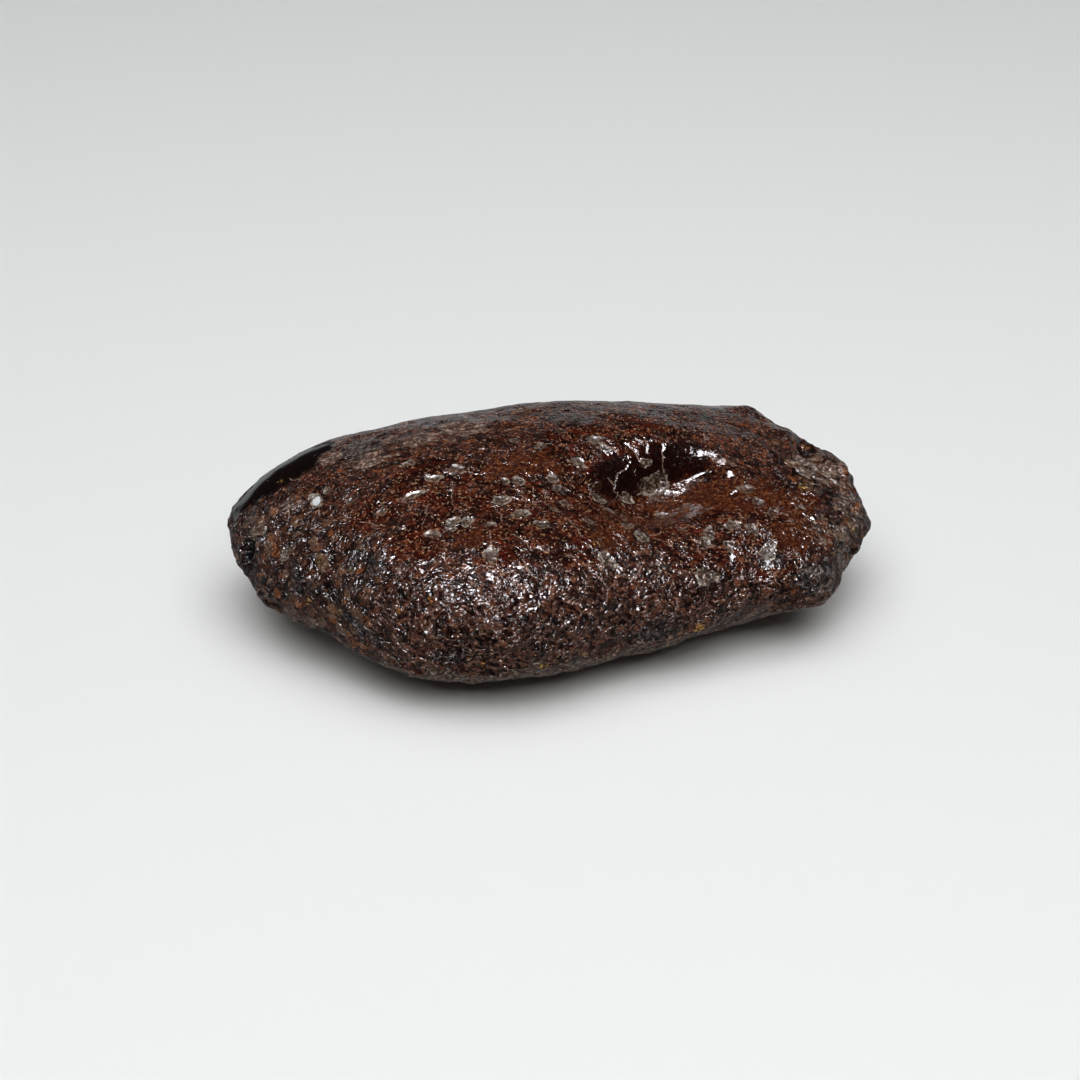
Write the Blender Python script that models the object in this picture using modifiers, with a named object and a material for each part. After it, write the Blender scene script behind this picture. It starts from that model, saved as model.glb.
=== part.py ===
"""A raw amber nodule: one natural piece of resin, modelled as one closed solid.

Length runs along X, depth along Y and height along Z, in metres. The origin is the middle of
the bounding box's foot, on the small flat that the piece rests on.

The form is built as a sculptor would. A sphere is drawn out into a nodule whose cross
sections change along its length, hollows and swellings are pushed into it one by one, and
the foot is cut flat.
"""

import math

import bmesh
import bpy
from mathutils import Matrix, Vector, noise

MM = 0.001

LENGTH = 91.6 * MM
NOSE_POWER = 2.5  # 2 closes the ends as round domes, more as blunter ones
CROWN_POWER = 2.15
BELLY_POWER = 2.4
CROWN_TILT = 2.0 * MM  # how much the crown is raised at the back and lowered at the front
SPHERE_SUBDIVISIONS = 7
VOXEL = 1.75 * MM  # how large the finished faces are
SMOOTHING = 3
FOOT_CUT = 1.2 * MM  # how much of the lowest point is cut away

# Cross sections along the length, in millimetres: x, then the y and z of the waist's middle,
# half the depth, the crown's height above the waist and the belly's depth below it. They
# give the sizes before the two ends are rounded off.
SECTIONS = (
    (-46, 6.0, 13.5, 16.0, 10.6, 8.8),
    (-42, 2.2, 13.0, 17.9, 11.6, 9.8),
    (-38, 1.4, 12.6, 20.0, 12.6, 10.7),
    (-30, 1.0, 12.2, 21.9, 14.0, 11.3),
    (-20, -0.9, 12.0, 25.0, 15.2, 11.6),
    (-10, -0.5, 12.0, 25.6, 15.5, 11.7),
    (0, 1.4, 12.0, 25.7, 15.4, 11.7),
    (10, 4.5, 11.6, 24.2, 14.5, 11.4),
    (20, 7.4, 11.4, 24.1, 14.1, 10.9),
    (30, 9.6, 11.4, 24.4, 13.6, 10.6),
    (38, 6.3, 11.3, 23.8, 12.6, 9.9),
    (42, 6.5, 11.4, 23.6, 12.4, 8.9),
    (46, 6.2, 11.8, 20.0, 11.2, 7.6),
)

# Hollows and swellings, in millimetres and degrees: middle, turn about Z, reach along the
# turned X, reach to the front and to the back, reach up and down, and the push that the
# surface gets at the middle.
PUSHES = {
    "valley": ((3, -3, 25), 22, 30, 10, 9, 12, (0, 0, -1.6)),
    "hollow": ((14, -1, 24), 25, 14, 9, 6.5, 12, (0, 0.3, -4.0)),
    "lip behind the hollow": ((14, 10, 25), 12, 18, 6, 9, 12, (0, -0.8, 0.8)),
    "knot": ((26, 6, 23), 60, 9, 5, 8, 10, (-0.6, 0, 1.0)),
    "front shoulder": ((-4, -22, 18), 3, 22, 8, 8, 10, (0, -0.6, 0.4)),
    "left pit": ((-44, -8, 13), 0, 3.5, 4, 4, 5, (2.0, 1.4, 0)),
    "right groove": ((46, -5.5, 11), 0, 7, 6, 5, 10, (-5.6, 1.0, 0)),
    "right underside": ((46, 1, 4), 0, 9, 12, 12, 8, (-3.4, 0, 3.0)),
    "right undercut": ((26, -15, 3), 8, 10, 7, 8, 8, (0, 4.0, 2.0)),
    "left undercut": ((-33, -14, 4), -20, 12, 7, 8, 6, (0, 1.2, 1.0)),
    "back notch": ((34.0, 29, 17), 0, 3.4, 7, 7, 12, (-1.2, -3.0, 0)),
    "right notch": ((40.5, 23.5, 16), 0, 3.4, 6, 6, 12, (-1.6, -2.2, 0)),
}

SWELL_SIZE = 13 * MM
SWELL_DEPTH = 0.55 * MM
LUMP_SIZE = 5.5 * MM
LUMP_DEPTH = 0.35 * MM
NOISE_SHIFT = Vector((3.7, 11.2, 5.9))  # picks which lumps the noise gives

AMBER = (0.22, 0.06, 0.02, 1.0)
AMBER_ROUGHNESS = 0.3
AMBER_IOR = 1.54


def section_at(x):
    """The section's numbers at x, in metres, on a smooth curve through SECTIONS."""
    x = x / MM
    last = len(SECTIONS) - 2
    index = next((i for i in range(last) if x < SECTIONS[i + 1][0]), last)
    before = SECTIONS[max(index - 1, 0)]
    start, end = SECTIONS[index], SECTIONS[index + 1]
    after = SECTIONS[min(index + 2, last + 1)]
    span = end[0] - start[0]
    t = (x - start[0]) / span
    found = []
    for column in range(1, len(start)):
        slope_in = (end[column] - before[column]) / (end[0] - before[0]) * span
        slope_out = (after[column] - start[column]) / (after[0] - start[0]) * span
        found.append(
            MM
            * (
                (2 * t**3 - 3 * t**2 + 1) * start[column]
                + (t**3 - 2 * t**2 + t) * slope_in
                + (3 * t**2 - 2 * t**3) * end[column]
                + (t**3 - t**2) * slope_out
            )
        )
    return found


def nodule_point(direction):
    """Where a point of the unit sphere goes on the nodule."""
    x = direction.x * LENGTH / 2
    y, z, half_depth, crown, belly = section_at(x)
    around = math.hypot(direction.y, direction.z)
    if around < 1e-6:
        return Vector((x, y, z))
    across, up = direction.y / around, direction.z / around
    power = CROWN_POWER if up > 0 else BELLY_POWER
    reach = (abs(across) ** power + abs(up) ** power) ** (-1 / power)
    nose = (1 - abs(direction.x) ** NOSE_POWER) ** (1 / NOSE_POWER)
    height = crown if up > 0 else belly
    tilt = CROWN_TILT * across * max(up, 0) * reach * 2
    return Vector(
        (x, y + across * reach * half_depth * nose, z + (up * reach * height + tilt) * nose)
    )


def push_at(point):
    """The sum of what the hollows and swellings do at a point."""
    total = Vector()
    for middle, turn, along, front, back, upright, push in PUSHES.values():
        offset = Matrix.Rotation(-math.radians(turn), 3, "Z") @ (point / MM - Vector(middle))
        across = front if offset.y < 0 else back
        away = (offset.x / along) ** 2 + (offset.y / across) ** 2 + (offset.z / upright) ** 2
        if away < 1:
            total += MM * (1 - away) ** 2 * Vector(push)
    return total


def sculpted():
    """The nodule with its hollows and lumps, as a very fine mesh."""
    bm = bmesh.new()
    bmesh.ops.create_icosphere(bm, subdivisions=SPHERE_SUBDIVISIONS, radius=1)
    for vertex in bm.verts:
        vertex.co = nodule_point(vertex.co)
    bm.normal_update()
    for vertex in bm.verts:
        place = vertex.co + NOISE_SHIFT
        swell = SWELL_DEPTH * noise.noise(place / SWELL_SIZE)
        lump = LUMP_DEPTH * noise.noise(place / LUMP_SIZE)
        vertex.co += push_at(vertex.co) + (swell + lump) * vertex.normal
    mesh = bpy.data.meshes.new("sculpted")
    bm.to_mesh(mesh)
    bm.free()
    return mesh


def evened(mesh):
    """The same form in faces that are all about as large as VOXEL."""
    rough = bpy.data.objects.new("rough", mesh)
    bpy.context.scene.collection.objects.link(rough)
    remesh = rough.modifiers.new("Even faces", "REMESH")
    remesh.mode = "VOXEL"
    remesh.voxel_size = VOXEL
    smooth = rough.modifiers.new("Take the steps out", "SMOOTH")
    smooth.iterations = SMOOTHING
    depsgraph = bpy.context.evaluated_depsgraph_get()
    even = bpy.data.meshes.new_from_object(rough.evaluated_get(depsgraph))
    bpy.data.objects.remove(rough)
    return even


def stand(mesh):
    """Cuts the foot flat and puts the origin at the middle of the bounding box's foot."""
    bm = bmesh.new()
    bm.from_mesh(mesh)
    ground = min(vertex.co.z for vertex in bm.verts) + FOOT_CUT
    for vertex in bm.verts:
        vertex.co.z = max(vertex.co.z, ground)
    foot = [face for face in bm.faces if max(vertex.co.z for vertex in face.verts) <= ground]
    bmesh.ops.dissolve_faces(bm, faces=foot, use_verts=True)
    xs = [vertex.co.x for vertex in bm.verts]
    ys = [vertex.co.y for vertex in bm.verts]
    middle = Vector((min(xs) + max(xs), min(ys) + max(ys), 2 * ground)) / 2
    bmesh.ops.translate(bm, verts=bm.verts, vec=-middle)
    bm.to_mesh(mesh)
    bm.free()


def amber():
    """Dark red-brown resin with a polished skin."""
    material = bpy.data.materials.new("amber")
    material.use_nodes = True
    shader = material.node_tree.nodes["Principled BSDF"]
    shader.inputs["Base Color"].default_value = AMBER
    shader.inputs["Roughness"].default_value = AMBER_ROUGHNESS
    shader.inputs["Metallic"].default_value = 0.0
    shader.inputs["IOR"].default_value = AMBER_IOR
    return material


def main():
    for obj in list(bpy.data.objects):
        bpy.data.objects.remove(obj)
    collection = bpy.data.collections.new("Raw amber nodule")
    bpy.context.scene.collection.children.link(collection)
    mesh = evened(sculpted())
    stand(mesh)
    mesh.materials.clear()
    mesh.materials.append(amber())
    mesh.shade_smooth()
    collection.objects.link(bpy.data.objects.new("amber_nodule", mesh))


main()
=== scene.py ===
"""The looks of a raw amber nodule: its wrinkled crust, pits, cracks, clear windows and what is
sealed in the resin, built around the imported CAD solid.

Metres, +Z up, and the CAD's own frame: X along the nodule, Y away from the viewer.
"""

import math
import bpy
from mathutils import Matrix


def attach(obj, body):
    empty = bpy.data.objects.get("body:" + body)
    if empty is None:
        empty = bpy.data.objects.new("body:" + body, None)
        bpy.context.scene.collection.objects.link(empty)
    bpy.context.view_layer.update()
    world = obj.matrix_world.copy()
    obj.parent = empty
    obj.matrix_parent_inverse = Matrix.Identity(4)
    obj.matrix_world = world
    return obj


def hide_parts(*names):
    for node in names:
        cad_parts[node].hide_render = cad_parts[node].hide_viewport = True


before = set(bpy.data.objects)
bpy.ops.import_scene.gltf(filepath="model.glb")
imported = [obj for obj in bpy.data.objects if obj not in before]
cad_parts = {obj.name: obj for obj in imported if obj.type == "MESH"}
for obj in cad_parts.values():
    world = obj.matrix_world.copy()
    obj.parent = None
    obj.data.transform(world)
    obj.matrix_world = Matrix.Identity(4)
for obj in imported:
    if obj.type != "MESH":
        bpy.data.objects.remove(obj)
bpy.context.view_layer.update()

from types import SimpleNamespace

import bmesh
import bpy
import numpy as np
from mathutils import Matrix, Vector, noise
from mathutils.bvhtree import BVHTree
from mathutils.kdtree import KDTree

MM = 0.001
NODE = "amber_nodule"
RANDOM = np.random.default_rng(54)

# The camera. A place written as a pair of pixels is in the photograph's 1080 x 1080 frame.
PHOTO_SIDE = 1080
PIXELS_PER_MM = 7.11
LENS = 80
SENSOR = 36
ELEVATION = math.radians(31)
AIM = Vector((-1.4, -2.3, 12.7)) * MM

# A pixel in the middle of the nodule, for the side that counts as inward.
MIDDLE = (560, 540)

# The mesh that carries the relief: the size of its faces, how near a pit's rim or a crack
# they are split, at how many places round a rim, and how far the crack mask spreads in mm.
GRAIN = 0.47 * MM
RIM_REACH = 0.55 * MM
CRACK_REACH = 0.34 * MM
RIM_POINTS = 12
CRACK_SPREAD = 0.5

# The studio: the place, size and power of the lamp and its halo, which only reflections show,
# and of the panel and the fill, which only rough surfaces show.
FLOOR_SIZE = 5
PAPER = {"Base Color": (0.80, 0.815, 0.805, 1), "Roughness": 0.7}
LAMP = ((0.01, -0.22, 0.60), (0.15, 0.16), 4.2)
HALO = ((0.00, -0.29, 0.60), (0.40, 0.26), 7.0)
LAMP_COLOR = (0.96, 0.95, 1.0)
PANEL = ((0.02, -0.16, 0.55), (0.70, 0.70), 3.2)
FILL = ((0, -0.1, 3.0), (5.6, 5.6), 66)

# The backdrop's sweep: where it starts to rise, how it bends, its top, and how it glows.
SWEEP_RADIUS = 1.3
SWEEP_BEND = 0.35
SWEEP_TOP = 1.4
SWEEP_ROWS = 10
SWEEP_SIDES = 96
SWEEP_GLOW = 0.62
SWEEP_COLOR = (0.96, 0.99, 1.0, 1)

# The room's brightness: all round, near the horizon behind the nodule, and the share of
# the latter that is left below the horizon.
ROOM_DIM = 0.03
ROOM_PALE = 0.55
ROOM_BELOW = 0.35
ROOM_COLOR = (0.94, 0.98, 1.0, 1)

# The resin, and the steps that deepen the skin's dark tones and keep its light ones.
AMBER_IOR = 1.54
SHEEN_LEVEL = 0.32
ABSORPTION_DENSITY = 700
ABSORPTION_COLOR = (0.93, 0.60, 0.12, 1)
DEEPEN = 1.35
DEEPEN_GAIN = (2.3, 2.5, 2.9)

# How far the flakes' outlines wander, as a share of a flake.
FLAKE_BEND = 1.1

# How many of each are sealed in the resin, and how many pits and cracks are on the sides
# that the photograph doesn't show or are too faint on it to follow.
SPANGLES = 45
DEBRIS = 150
BUBBLES = 90
SCATTERED_PITS = 110
WANDERING_CRACKS = 26

# Pale scars on the surface: pixel, half length and half width in mm, turn in degrees, and
# how pale it is.
PITS = (
    (481, 428, 1.0, 0.8, 0, 0.6), (450, 439, 0.9, 0.8, 20, 0.5), (457, 469, 1.3, 0.9, 5, 0.6),
    (410, 463, 0.9, 0.7, 0, 0.5), (434, 478, 1.2, 0.7, 0, 0.6), (412, 495, 1.5, 0.7, 28, 0.8),
    (518, 481, 0.9, 0.8, 0, 0.8), (505, 481, 0.6, 0.6, 0, 0.7), (553, 478, 1.0, 0.8, 10, 0.8),
    (557, 488, 0.8, 0.7, 0, 0.6), (501, 500, 1.1, 1.1, 0, 0.9), (521, 513, 1.3, 0.8, 8, 0.9),
    (542, 524, 1.0, 0.8, 0, 0.7), (555, 509, 0.8, 0.5, 0, 0.8), (565, 503, 0.7, 0.7, 0, 0.6),
    (453, 521, 1.0, 0.7, 0, 0.7), (468, 521, 1.0, 0.9, 30, 0.8), (491, 524, 0.8, 0.5, 0, 0.6),
    (449, 529, 0.8, 0.5, 0, 0.5), (432, 534, 1.2, 0.6, 0, 0.8), (491, 555, 1.2, 1.2, 0, 0.7),
    (522, 410, 1.2, 1.0, 0, 0.5), (541, 446, 0.8, 0.7, 0, 0.5), (596, 441, 1.0, 0.9, -20, 0.6),
    (604, 449, 0.8, 0.5, 0, 0.6), (579, 462, 1.1, 0.8, -10, 1.0), (599, 499, 1.4, 0.6, -5, 0.8),
    (628, 497, 1.3, 0.6, -15, 0.8), (655, 484, 2.4, 1.5, 10, 0.8), (644, 464, 0.8, 0.7, 0, 0.8),
    (608, 510, 1.1, 0.6, 0, 0.5), (589, 521, 0.9, 0.6, 0, 0.4), (666, 511, 1.5, 0.6, 6, 0.4),
    (684, 502, 1.3, 0.5, 6, 0.4), (628, 526, 0.9, 0.8, 0, 0.5), (640, 534, 0.8, 0.6, 0, 0.9),
    (645, 539, 0.7, 0.6, 0, 1.0), (681, 527, 0.8, 0.6, 0, 0.4), (607, 561, 1.3, 1.1, 0, 0.8),
    (709, 532, 1.1, 1.0, 0, 0.5), (705, 543, 0.9, 0.9, 0, 0.5), (733, 525, 1.2, 1.0, 0, 0.6),
    (746, 489, 1.1, 0.9, 0, 0.5), (756, 501, 0.8, 0.7, 0, 0.4), (751, 530, 0.9, 0.9, 0, 0.5),
    (729, 547, 0.9, 0.8, 0, 0.4), (773, 513, 1.0, 0.8, 0, 0.4), (766, 554, 1.2, 1.2, 0, 0.8),
    (706, 577, 1.6, 1.3, -5, 0.7), (286, 552, 1.4, 1.0, 35, 0.9), (259, 530, 1.0, 1.2, 0, 0.5),
    (316, 500, 1.1, 1.2, 0, 1.0), (327, 491, 0.7, 0.7, 0, 0.6), (300, 475, 0.9, 0.8, 0, 0.4),
    (352, 500, 0.9, 0.7, 0, 0.4), (380, 512, 0.8, 0.7, 0, 0.3), (515, 440, 0.8, 0.6, 0, 0.4),
    (560, 430, 0.8, 0.7, 0, 0.3), (665, 425, 0.9, 0.5, 0, 0.4), (720, 424, 0.8, 0.6, 0, 0.4),
)

# Small specks of another colour: pixel, radius in mm, and how yellow (0) or red (1) it is.
FLECKS = (
    (804, 486, 0.7, 0.1), (854, 530, 0.8, 0.1), (542, 666, 0.8, 0.1), (585, 656, 0.6, 0.2),
    (290, 536, 0.7, 0.9), (337, 611, 0.9, 0.6), (400, 609, 0.8, 0.6), (307, 600, 0.8, 0.4),
    (469, 656, 0.7, 0.6), (483, 664, 0.7, 0.6), (697, 626, 0.9, 0.4), (320, 560, 0.6, 0.4),
    (597, 545, 0.6, 0.1), (280, 482, 0.5, 0.2), (355, 515, 0.5, 0.5), (430, 600, 0.6, 0.7),
)

# The one white spot, a painted highlight: pixel and radius in mm.
PAINTED_GLINT = (316, 500, 0.8)

# Hairline cracks, as the pixels that each runs through.
CRACKS = (
    ((453, 487), (451, 502), (456, 508), (463, 514)),
    ((426, 506), (426, 514), (422, 525)),
    ((495, 508), (502, 514), (502, 522)),
    ((514, 487), (519, 493), (527, 499), (525, 506), (533, 510)),
    ((510, 497), (528, 501), (541, 502)),
    ((533, 489), (534, 508)),
    ((545, 490), (545, 504)),
    ((545, 513), (542, 522)),
    ((490, 535), (492, 548)),
    ((444, 555), (446, 565)),
    ((512, 534), (518, 536), (528, 544), (532, 552)),
    ((522, 560), (529, 573), (537, 578)),
    ((596, 482), (591, 489), (589, 498)),
    ((628, 462), (624, 470), (616, 474), (614, 490), (621, 495), (628, 498)),
    ((608, 478), (614, 486)),
    ((569, 518), (577, 528), (582, 538)),
    ((612, 530), (623, 540)),
    ((635, 513), (644, 514), (649, 512)),
    ((588, 560), (590, 570), (599, 579), (608, 589)),
    ((649, 535), (661, 532)),
    ((669, 539), (670, 547)),
    ((644, 440), (645, 455)),
    ((660, 445), (663, 472)),
)

# Patches of the surface: pixel of the middle, half length and half width in mm, and a turn.
WINDOWS = (
    (470, 505, 8.0, 8.0, 5), (530, 505, 7.0, 9.0, 0), (590, 500, 7.0, 8.0, 10),
    (560, 540, 6.0, 4.5, 0), (640, 460, 8.0, 6.0, 10), (505, 548, 5.0, 3.5, 0),
    (640, 515, 8.0, 5.0, 5), (700, 500, 9.0, 6.0, 5), (690, 545, 6.0, 4.5, 0),
    (780, 515, 7.0, 7.0, 0), (775, 555, 5.0, 3.5, 0), (375, 512, 4.5, 3.5, 0),
    (620, 440, 8.0, 5.0, 5), (570, 450, 5.0, 5.0, 0), (415, 540, 4.0, 3.5, 0),
    (740, 545, 5.0, 4.0, 0), (425, 485, 5.0, 5.0, 0), (560, 470, 8.0, 4.0, 0),
)
CHALK = (
    (368, 458, 5.5, 3.2, 8), (340, 452, 5.0, 2.5, 20), (410, 440, 6.0, 2.5, 8),
    (724, 465, 2.4, 1.2, 30), (820, 470, 4.5, 4.0, -30),
    (450, 430, 6.0, 2.5, 5), (294, 502, 2.4, 1.2, 10), (800, 520, 3.0, 6.0, 20),
    (850, 505, 4.0, 3.0, -40), (845, 545, 4.0, 3.0, -40), (815, 580, 4.0, 2.0, -20),
)
GOLD = (
    (529, 458, 4.0, 2.2, 0), (545, 463, 3.0, 2.0, 0), (505, 470, 3.0, 2.0, 0),
    (720, 495, 10.0, 4.0, 5), (780, 500, 6.0, 3.0, 0), (610, 540, 4.0, 2.0, 0),
    (800, 540, 4.0, 3.0, 0), (470, 540, 3.0, 2.0, 0), (690, 490, 5.0, 3.0, 0),
    (665, 497, 4.0, 2.2, 0),
)
COLD = (
    (574, 419, 4.0, 2.5, 0), (362, 448, 4.0, 2.5, 10), (455, 657, 3.0, 1.6, 0),
    (362, 630, 3.2, 1.6, -25), (359, 560, 2.6, 1.6, 0), (375, 567, 2.2, 1.4, 0),
    (658, 632, 4.0, 2.2, 0), (300, 585, 2.2, 2.0, 0), (820, 575, 4.0, 3.0, 0),
    (775, 558, 4.0, 1.6, 0), (560, 490, 1.5, 1.0, 0),
)

# The pixels along the middle of the hollow's wall. In mm: half the wall's width seen from
# above, how far its edges are moved up and down, and how soon each move fades out.
WALL = (
    (584, 490), (605, 486), (625, 480), (645, 473), (668, 466), (688, 461), (706, 457),
    (728, 456), (748, 459),
)
WALL_HALF = 1.7
WALL_UP = 0.70
WALL_UP_FADE = 4.0
WALL_DOWN = 0.95
WALL_DOWN_FADE = 16.0

# The polished patch at the left shoulder: pixel and radius in mm.
SHOULDER = (
    (240, 506, 2.4), (252, 493, 3.4), (266, 482, 4.2), (284, 469, 4.4), (304, 458, 3.6),
    (322, 449, 2.2),
)

# Knobs and notches along the right end and the rims: pixel, radius and height in mm.
KNOBS = (
    (747, 411, 2.6, 0.6), (763, 416, 1.5, -0.9), (785, 434, 2.4, 0.6), (806, 449, 1.6, -1.3),
    (828, 458, 3.4, 0.9), (846, 474, 2.4, 0.4), (858, 490, 1.5, -0.6), (866, 518, 2.6, 0.6),
    (857, 548, 1.8, -0.9), (843, 578, 2.8, 0.6), (836, 598, 1.6, -0.5), (234, 513, 1.6, 0.35),
    (240, 528, 1.6, -0.5), (262, 590, 1.6, 0.6), (276, 607, 1.4, -0.5), (330, 630, 2.0, -0.4),
    (352, 646, 2.4, 0.5), (418, 672, 2.2, 0.4), (500, 674, 1.8, 0.4), (560, 668, 1.6, -0.5),
    (617, 652, 1.8, 0.4), (688, 640, 1.8, -0.5), (706, 622, 2.2, 0.7), (770, 452, 1.6, 0.5),
    (792, 470, 1.4, -0.5), (812, 492, 1.6, 0.5), (826, 515, 1.3, -0.4), (830, 545, 1.8, 0.5),
    (775, 563, 7.0, 1.2), (716, 455, 1.6, 0.5), (729, 470, 1.4, 0.4), (704, 446, 1.0, -0.4),
    (744, 440, 1.5, -0.3),
)

# The pit in the left end, darkened inside as painted shade: pixel, half length and half width in
# mm, and a turn.
LEFT_PIT = (248, 554, 1.7, 2.7, -10)


# ---------------------------------------------------------------------------------- camera


def make_camera():
    """A camera at the photograph's height and angle, aimed at the nodule."""
    camera = bpy.data.objects.new("camera", bpy.data.cameras.new("camera"))
    camera.data.lens = LENS
    camera.data.sensor_width = SENSOR
    camera.data.clip_start = 0.01
    distance = PHOTO_SIDE / PIXELS_PER_MM * MM * LENS / SENSOR
    back = Vector((0, -math.cos(ELEVATION), math.sin(ELEVATION)))
    camera.location = AIM + back * distance
    camera.rotation_euler = back.to_track_quat("Z", "Y").to_euler()
    bpy.context.scene.collection.objects.link(camera)
    bpy.context.scene.camera = camera
    bpy.context.view_layer.update()
    return camera


# -------------------------------------------------------------------------------- geometry


def smooth_step(low, high, value):
    """0 below low and 1 above high, with no corner at either end."""
    share = np.clip((value - low) / (high - low), 0, 1)
    return share * share * (3 - 2 * share)


def smooth_body():
    """The CAD solid without its facets, in faces about as large as GRAIN."""
    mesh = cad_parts[NODE].data.copy()
    mesh.materials.clear()
    bm = bmesh.new()
    bm.from_mesh(mesh)
    bmesh.ops.remove_doubles(bm, verts=bm.verts, dist=1e-6)
    bm.to_mesh(mesh)
    bm.free()
    body = bpy.data.objects.new("amber_body", mesh)
    bpy.context.scene.collection.objects.link(body)
    rounding = body.modifiers.new("Round the facets", "SUBSURF")
    rounding.levels = rounding.render_levels = 2
    even = body.modifiers.new("Even faces", "REMESH")
    even.mode = "VOXEL"
    even.voxel_size = GRAIN
    relax = body.modifiers.new("Relax", "SMOOTH")
    relax.iterations = 4
    depsgraph = bpy.context.evaluated_depsgraph_get()
    smooth = bpy.data.meshes.new_from_object(body.evaluated_get(depsgraph))
    body.modifiers.clear()
    body.data = smooth
    return body


class Skin:
    """The smooth surface, for finding the places on it that pixels of the photograph show."""

    def __init__(self, body, camera):
        mesh = body.data
        places = [vertex.co.copy() for vertex in mesh.vertices]
        self.tree = BVHTree.FromPolygons(places, [face.vertices[:] for face in mesh.polygons])
        self.eye = camera.location.copy()
        self.turn = camera.matrix_world.to_3x3()

    def place(self, x, y):
        """The point under a pixel, or under the nearest one inward, and the normal there."""
        scale = SENSOR / LENS / PHOTO_SIDE
        half = PHOTO_SIDE / 2
        for step in range(40):
            share = step / 100
            px = x + (MIDDLE[0] - x) * share
            py = y + (MIDDLE[1] - y) * share
            ray = Vector(((px - half) * scale, (half - py) * scale, -1)).normalized()
            point, normal, _, _ = self.tree.ray_cast(self.eye, self.turn @ ray)
            if point is not None:
                return point, normal
        raise ValueError(f"pixel {x}, {y} misses the nodule")

    def on(self, point):
        """The nearest point of the surface and its normal."""
        near, normal, _, _ = self.tree.find_nearest(point)
        return near, normal


def tangents(normal, turn):
    """Two directions in the surface: along, turned from the image's right, and across."""
    along = (Vector((1, 0, 0)) - normal * normal.x).normalized()
    along = Matrix.Rotation(math.radians(turn), 3, normal) @ along
    return along, normal.cross(along)


def spot(shape, place, half_length, half_width, turn):
    """For every vertex, how far it is from an oval spot's middle, 1 being the spot's edge."""
    point, normal = place
    along, across = tangents(normal, turn)
    offset = shape.places - np.array(point)
    u = offset @ np.array(along) / (half_length * MM)
    v = offset @ np.array(across) / (half_width * MM)
    w = offset @ np.array(normal) / (max(half_length, half_width) * MM)
    return np.sqrt(u * u + v * v + w * w), np.arctan2(v, u)


class Shape:
    """The body's vertices as arrays: places, normals, and what each field of relief adds."""

    def __init__(self, body):
        mesh = body.data
        count = len(mesh.vertices)
        self.places = np.empty(count * 3, np.float32)
        self.normals = np.empty(count * 3, np.float32)
        mesh.vertices.foreach_get("co", self.places)
        mesh.vertices.foreach_get("normal", self.normals)
        self.places = self.places.reshape(-1, 3).astype(float)
        self.normals = self.normals.reshape(-1, 3).astype(float)
        self.height = np.zeros(count)
        self.masks = {}

    def field(self, size, kind, seed):
        """A noise field over the vertices, whose lumps are about size millimetres across."""
        shift = Vector((seed, 1.7 * seed, -0.6 * seed))
        sources = {
            "plain": noise.noise,
            "fractal": lambda p: noise.fractal(p, 0.8, 2.1, 3),
            "ridged": lambda p: noise.ridged_multi_fractal(p, 0.9, 2.1, 2, 1.0, 2.0),
            "cells": lambda p: noise.voronoi(p)[0][1] - noise.voronoi(p)[0][0],
        }
        source = sources[kind]
        scale = 1 / (size * MM)
        return np.array([source(Vector(p) * scale + shift) for p in self.places])


# ---------------------------------------------------------------------------------- relief


def refine(body, points, reach):
    """Splits each edge near any of the points once, to carry finer relief there."""
    tree = KDTree(len(points))
    for index, point in enumerate(points):
        tree.insert(point, index)
    tree.balance()
    bm = bmesh.new()
    bm.from_mesh(body.data)
    bmesh.ops.triangulate(bm, faces=bm.faces)
    near = {v for v in bm.verts if tree.find(v.co)[2] < reach}
    edges = [e for e in bm.edges if e.verts[0] in near and e.verts[1] in near]
    bmesh.ops.subdivide_edges(bm, edges=edges, cuts=1, use_grid_fill=True)
    bmesh.ops.triangulate(bm, faces=bm.faces)
    bm.to_mesh(body.data)
    bm.free()


def crack_lines(skin):
    """The cracks as close-set points on the surface: those seen, and some all round."""
    lines = []
    for pixels in CRACKS:
        line = []
        for (x0, y0), (x1, y1) in zip(pixels, pixels[1:]):
            steps = max(2, int(math.hypot(x1 - x0, y1 - y0)))
            for step in range(steps):
                share = step / steps
                wander = 1.4 * noise.noise(Vector((x0 + 9 * share, y0, 0.3)))
                x = x0 + (x1 - x0) * share + wander
                line.append(skin.place(x, y0 + (y1 - y0) * share - wander)[0])
        lines.append(line)
    for _ in range(WANDERING_CRACKS):
        lines.append(wandering_crack(skin))
    return lines


def wandering_crack(skin):
    """A short crack that starts anywhere and bends a little at each step."""
    start = Vector(RANDOM.normal(size=3))
    start = Vector((start.x * 45, start.y * 28, start.z * 13)).normalized() * 0.03
    point, normal = skin.on(Vector((start.x * 1.5, start.y, start.z + 0.012)))
    along, across = tangents(normal, RANDOM.uniform(0, 360))
    heading = along
    line = []
    for _ in range(int(RANDOM.uniform(10, 34))):
        line.append(point)
        heading = (heading + across * RANDOM.normal() * 0.22).normalized()
        point, normal = skin.on(point + heading * 0.15 * MM)
        heading = (heading - normal * heading.dot(normal)).normalized()
        across = normal.cross(heading)
    return line


def scattered_pits(skin):
    """Pits for the sides that the photograph doesn't show, in the same form as PITS."""
    found = []
    for _ in range(SCATTERED_PITS):
        aim = Vector(RANDOM.normal(size=3)).normalized()
        point, normal = skin.on(Vector((aim.x * 0.046, aim.y * 0.028, 0.012 + aim.z * 0.014)))
        size = RANDOM.uniform(0.5, 1.2)
        turn, pale = RANDOM.uniform(0, 360), RANDOM.uniform(0.2, 0.7)
        if normal.y > 0.3 or normal.z < -0.1 or abs(point.x) > 0.038:
            found.append(((point, normal), size, size * RANDOM.uniform(0.6, 1), turn, pale))
    return found


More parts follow.
